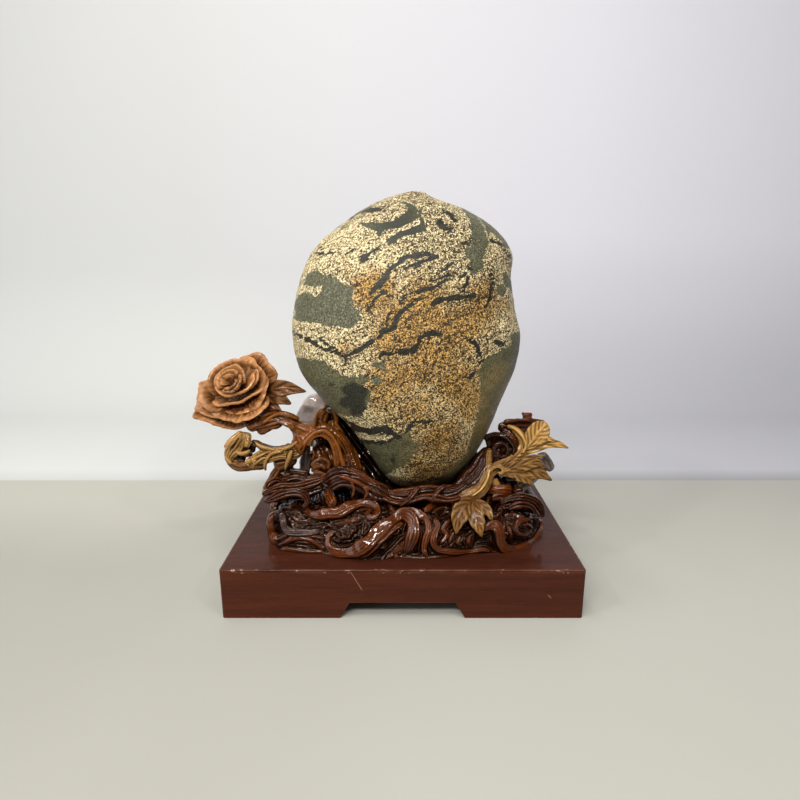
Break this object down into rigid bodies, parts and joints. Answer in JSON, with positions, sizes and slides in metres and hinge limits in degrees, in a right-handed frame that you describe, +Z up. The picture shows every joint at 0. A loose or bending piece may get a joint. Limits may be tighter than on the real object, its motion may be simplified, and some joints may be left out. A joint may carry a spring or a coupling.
{
  "type": "scholars rock",
  "caption": "Banded river stone standing in a carved, lacquered root-wood stand with a peony, a bud and leaves, on a low wooden plinth.",
  "frame": {"origin": "middle of the whole object's footprint, on the surface that the plinth stands on", "axes": "+Z up, the front of the stone and of the carving faces -Y, the peony reaches out towards -X"},
  "size_m": [0.4084, 0.26, 0.4178],
  "materials": {
    "banded_granite": "matte",
    "dark_lacquer": "gloss",
    "warm_lacquer": "gloss",
    "golden_lacquer": "gloss",
    "flower_wood": "satin",
    "plinth_wood": "satin"
  },
  "bodies": {
    "root": {"stone": "banded_granite", "carved_base": "dark_lacquer", "left_root": "warm_lacquer", "peony_stem": "warm_lacquer", "peony_bloom": "flower_wood", "peony_leaf": "flower_wood", "bud_branch": "warm_lacquer", "right_root": "dark_lacquer", "right_ribbon": "golden_lacquer", "right_upper_leaf": "golden_lacquer", "right_mid_leaf": "golden_lacquer", "lower_leaf": "golden_lacquer", "plinth_board": "plinth_wood", "plinth_rail_front": "plinth_wood", "plinth_rail_back": "plinth_wood", "plinth_rail_left": "plinth_wood", "plinth_rail_right": "plinth_wood"}
  },
  "joints": []
}
